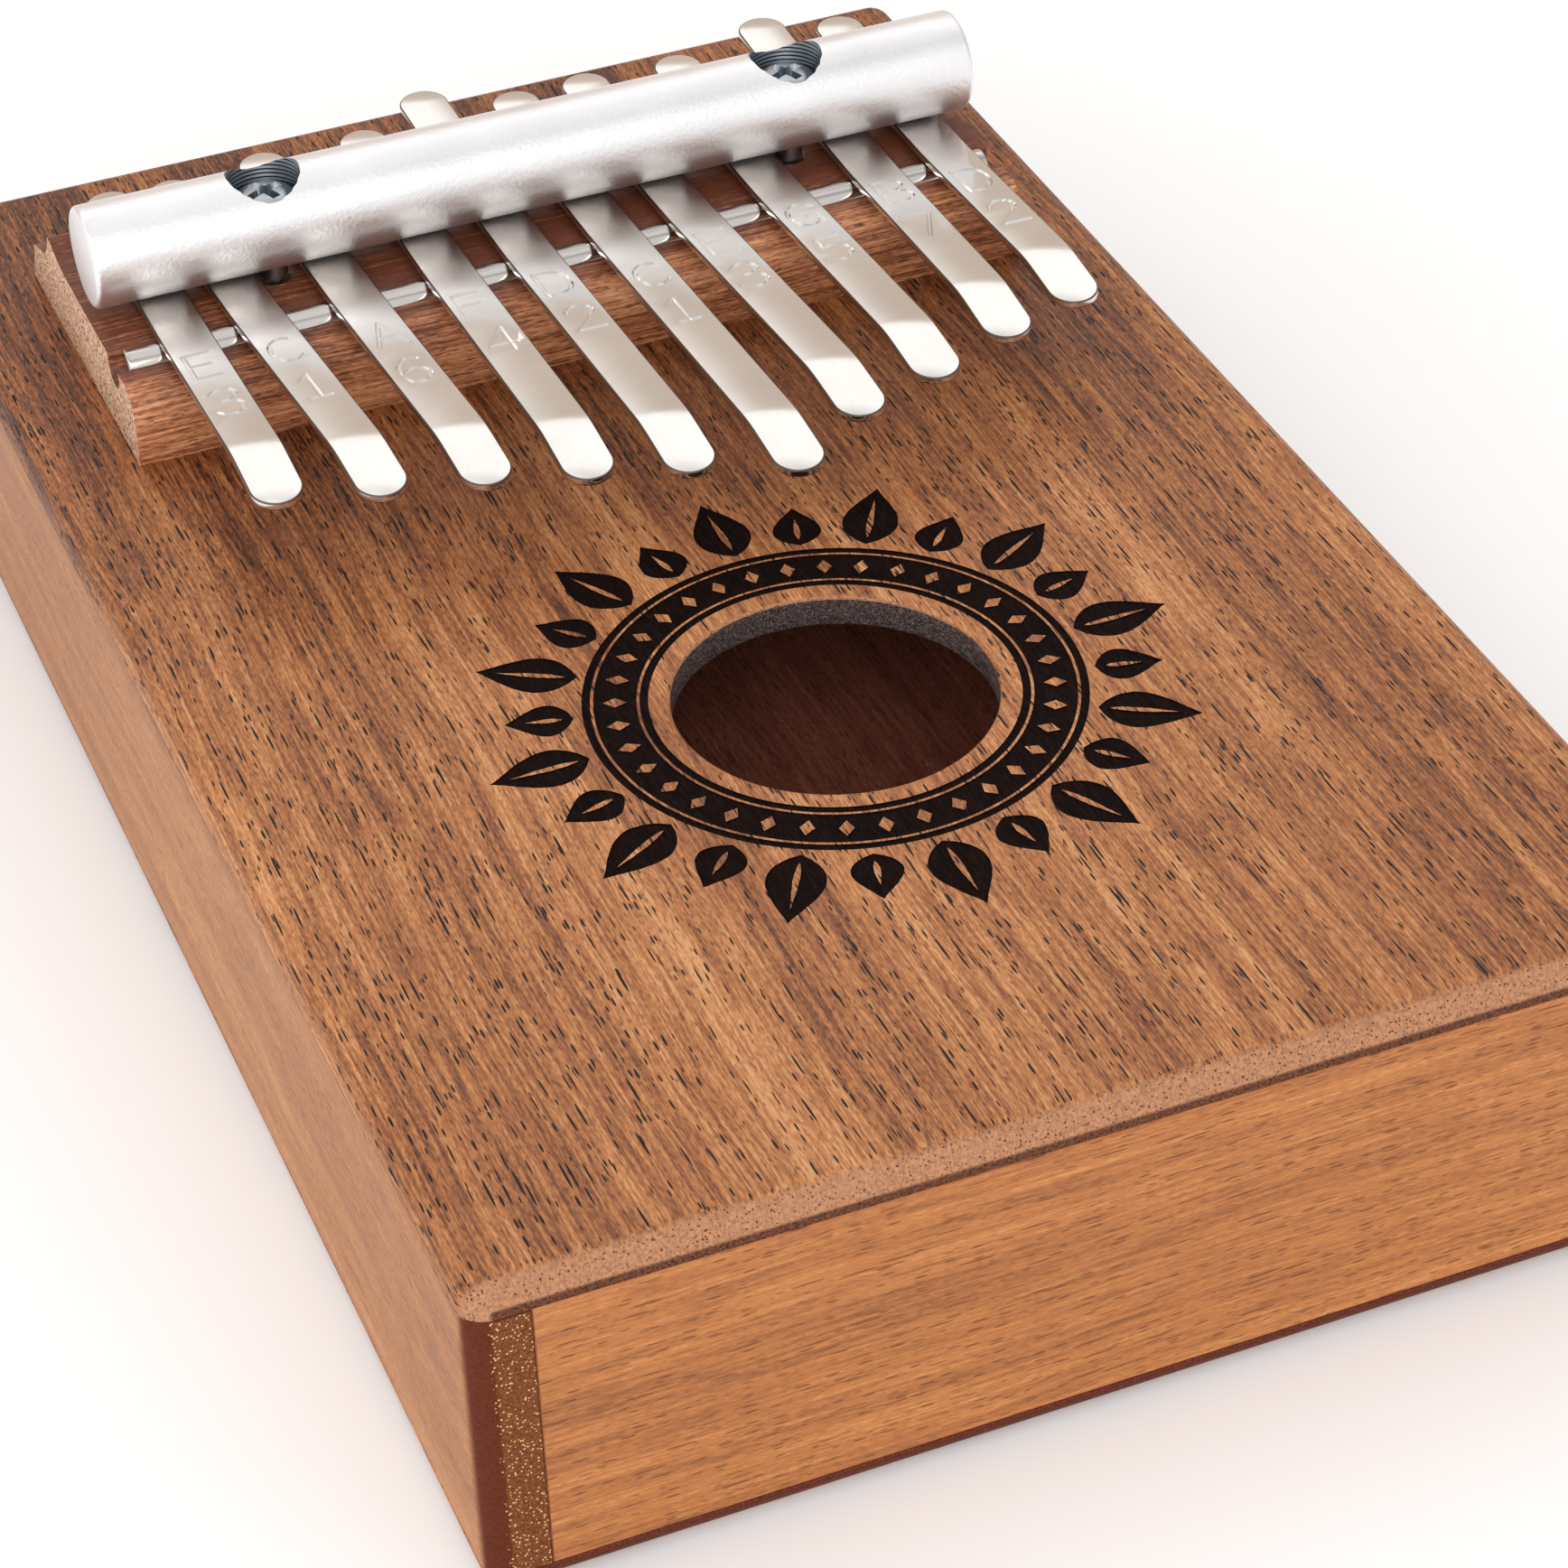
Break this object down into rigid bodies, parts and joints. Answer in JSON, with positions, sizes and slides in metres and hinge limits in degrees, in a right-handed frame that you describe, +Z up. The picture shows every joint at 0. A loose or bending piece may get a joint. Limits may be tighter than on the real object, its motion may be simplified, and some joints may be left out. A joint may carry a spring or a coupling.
{
  "type": "box mbira",
  "caption": "Boxed mbira, or kalimba: a hollow wooden sound box with a round hole, and steel tines clamped over a bridge board and rod by a screwed metal bar.",
  "frame": {"origin": "middle of the box's footprint, on the surface that the box stands on", "axes": "+Z up, +Y from the player's end towards the bridge end along the tines, +X to the player's right"},
  "size_m": [0.132, 0.21, 0.0635],
  "materials": {
    "plate_wood": "satin oiled mahogany-like wood, grain along Y",
    "side_wood": "satin oiled wood, grain along Y",
    "end_wood": "satin oiled wood, grain along X",
    "brace_wood": "raw sawn wood",
    "board_wood": "planed wood, grain along X, pale end grain",
    "rod_steel": "polished steel",
    "bar_aluminium": "fine bead-blasted satin",
    "screw_steel": "zinc plated",
    "tine_steel": "nickel plated spring steel, bright"
  },
  "bodies": {
    "root": {"top_plate": "plate_wood", "back_plate": "plate_wood", "left_side": "side_wood", "right_side": "side_wood", "front_end": "end_wood", "rear_end": "end_wood", "bridge_brace": "brace_wood", "bridge_board": "board_wood", "bridge_rod": "rod_steel", "pressure_bar": "bar_aluminium", "screw_left": "screw_steel", "screw_right": "screw_steel"},
    "tine_01_clamped": {"tine_01_tail": "tine_steel"},
    "tine_01_plucked": {"tine_01_tongue": "tine_steel"},
    "tine_02_clamped": {"tine_02_tail": "tine_steel"},
    "tine_02_plucked": {"tine_02_tongue": "tine_steel"},
    "tine_03_clamped": {"tine_03_tail": "tine_steel"},
    "tine_03_plucked": {"tine_03_tongue": "tine_steel"},
    "tine_04_clamped": {"tine_04_tail": "tine_steel"},
    "tine_04_plucked": {"tine_04_tongue": "tine_steel"},
    "tine_05_clamped": {"tine_05_tail": "tine_steel"},
    "tine_05_plucked": {"tine_05_tongue": "tine_steel"},
    "tine_06_clamped": {"tine_06_tail": "tine_steel"},
    "tine_06_plucked": {"tine_06_tongue": "tine_steel"},
    "tine_07_clamped": {"tine_07_tail": "tine_steel"},
    "tine_07_plucked": {"tine_07_tongue": "tine_steel"},
    "tine_08_clamped": {"tine_08_tail": "tine_steel"},
    "tine_08_plucked": {"tine_08_tongue": "tine_steel"},
    "tine_09_clamped": {"tine_09_tail": "tine_steel"},
    "tine_09_plucked": {"tine_09_tongue": "tine_steel"},
    "tine_10_clamped": {"tine_10_tail": "tine_steel"},
    "tine_10_plucked": {"tine_10_tongue": "tine_steel"}
  },
  "joints": [
    {"name": "tine_01_tuning", "type": "slide", "parent": "root", "child": "tine_01_clamped", "axis": [0, -1, 0], "range_m": [-0.002, 0.002]},
    {"name": "tine_01_pluck", "type": "hinge", "parent": "tine_01_clamped", "child": "tine_01_plucked", "pos_m": [-0.0463, 0.0452, 0.0506], "axis": [-1, 0, 0], "range_deg": [-3, 3], "stiffness_Nm_per_rad": 5.4},
    {"name": "tine_02_tuning", "type": "slide", "parent": "root", "child": "tine_02_clamped", "axis": [0.0454, -0.999, 0], "range_m": [-0.002, 0.002]},
    {"name": "tine_02_pluck", "type": "hinge", "parent": "tine_02_clamped", "child": "tine_02_plucked", "pos_m": [-0.03743, 0.04521, 0.0506], "axis": [-0.999, -0.0454, 0], "range_deg": [-3, 3], "stiffness_Nm_per_rad": 5},
    {"name": "tine_03_tuning", "type": "slide", "parent": "root", "child": "tine_03_clamped", "axis": [0.0314, -0.9995, 0], "range_m": [-0.002, 0.002]},
    {"name": "tine_03_pluck", "type": "hinge", "parent": "tine_03_clamped", "child": "tine_03_plucked", "pos_m": [-0.02607, 0.04521, 0.0506], "axis": [-0.9995, -0.0314, 0], "range_deg": [-3, 3], "stiffness_Nm_per_rad": 4.6},
    {"name": "tine_04_tuning", "type": "slide", "parent": "root", "child": "tine_04_clamped", "axis": [0, -1, 0], "range_m": [-0.002, 0.002]},
    {"name": "tine_04_pluck", "type": "hinge", "parent": "tine_04_clamped", "child": "tine_04_plucked", "pos_m": [-0.0144, 0.0452, 0.0506], "axis": [-1, 0, 0], "range_deg": [-3, 3], "stiffness_Nm_per_rad": 4.3},
    {"name": "tine_05_tuning", "type": "slide", "parent": "root", "child": "tine_05_clamped", "axis": [0.0087, -1, 0], "range_m": [-0.002, 0.002]},
    {"name": "tine_05_pluck", "type": "hinge", "parent": "tine_05_clamped", "child": "tine_05_plucked", "pos_m": [-0.00451, 0.0452, 0.0506], "axis": [-1, -0.0087, 0], "range_deg": [-3, 3], "stiffness_Nm_per_rad": 4},
    {"name": "tine_06_tuning", "type": "slide", "parent": "root", "child": "tine_06_clamped", "axis": [0.0122, -0.9999, 0], "range_m": [-0.002, 0.002]},
    {"name": "tine_06_pluck", "type": "hinge", "parent": "tine_06_clamped", "child": "tine_06_plucked", "pos_m": [0.00593, 0.0452, 0.0506], "axis": [-0.9999, -0.0122, 0], "range_deg": [-3, 3], "stiffness_Nm_per_rad": 3.6},
    {"name": "tine_07_tuning", "type": "slide", "parent": "root", "child": "tine_07_clamped", "axis": [0.0279, -0.9996, 0], "range_m": [-0.002, 0.002]},
    {"name": "tine_07_pluck", "type": "hinge", "parent": "tine_07_clamped", "child": "tine_07_plucked", "pos_m": [0.01569, 0.0452, 0.0506], "axis": [-0.9996, -0.0279, 0], "range_deg": [-3, 3], "stiffness_Nm_per_rad": 4.2},
    {"name": "tine_08_tuning", "type": "slide", "parent": "root", "child": "tine_08_clamped", "axis": [0.0122, -0.9999, 0], "range_m": [-0.002, 0.002]},
    {"name": "tine_08_pluck", "type": "hinge", "parent": "tine_08_clamped", "child": "tine_08_plucked", "pos_m": [0.02713, 0.0452, 0.0506], "axis": [-0.9999, -0.0122, 0], "range_deg": [-3, 3], "stiffness_Nm_per_rad": 4.5},
    {"name": "tine_09_tuning", "type": "slide", "parent": "root", "child": "tine_09_clamped", "axis": [-0.014, -0.9999, 0], "range_m": [-0.002, 0.002]},
    {"name": "tine_09_pluck", "type": "hinge", "parent": "tine_09_clamped", "child": "tine_09_plucked", "pos_m": [0.03905, 0.0452, 0.0506], "axis": [-0.9999, 0.014, 0], "range_deg": [-3, 3], "stiffness_Nm_per_rad": 5},
    {"name": "tine_10_tuning", "type": "slide", "parent": "root", "child": "tine_10_clamped", "axis": [0, -1, 0], "range_m": [-0.002, 0.002]},
    {"name": "tine_10_pluck", "type": "hinge", "parent": "tine_10_clamped", "child": "tine_10_plucked", "pos_m": [0.0486, 0.0452, 0.0506], "axis": [-1, 0, 0], "range_deg": [-3, 3], "stiffness_Nm_per_rad": 5.6}
  ]
}
